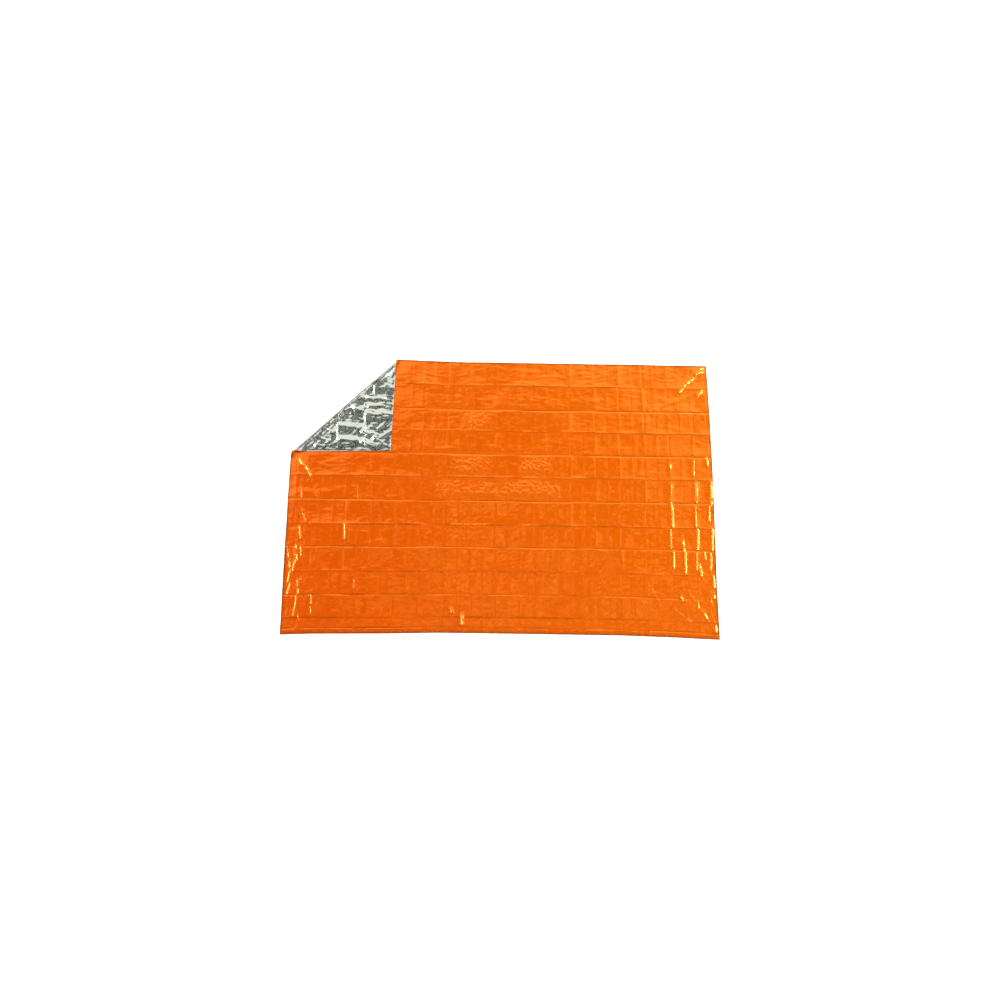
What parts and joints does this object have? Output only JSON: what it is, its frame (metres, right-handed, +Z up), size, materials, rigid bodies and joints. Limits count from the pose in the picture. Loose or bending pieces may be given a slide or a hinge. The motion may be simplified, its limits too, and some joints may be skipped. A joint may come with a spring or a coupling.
{
  "type": "emergency foil blanket",
  "caption": "Thin two-faced foil rescue blanket, glossy orange over silver, laid out flat with its pack creases and one corner folded over the front.",
  "frame": {"origin": "on the surface, under the middle of the laid-out sheet", "axes": "+X along the long edges, with the folded corner at the -X end; +Y towards the long edge that carries the folded corner; +Z up out of the orange face"},
  "size_m": [2.13, 1.42, 0.0263],
  "materials": {
    "orange_film": "glossy orange plastic film on the face that lies up, bright metallised silver on the back, creased from its pack"
  },
  "bodies": {
    "root": {"foil_sheet": "orange_film"}
  },
  "joints": []
}
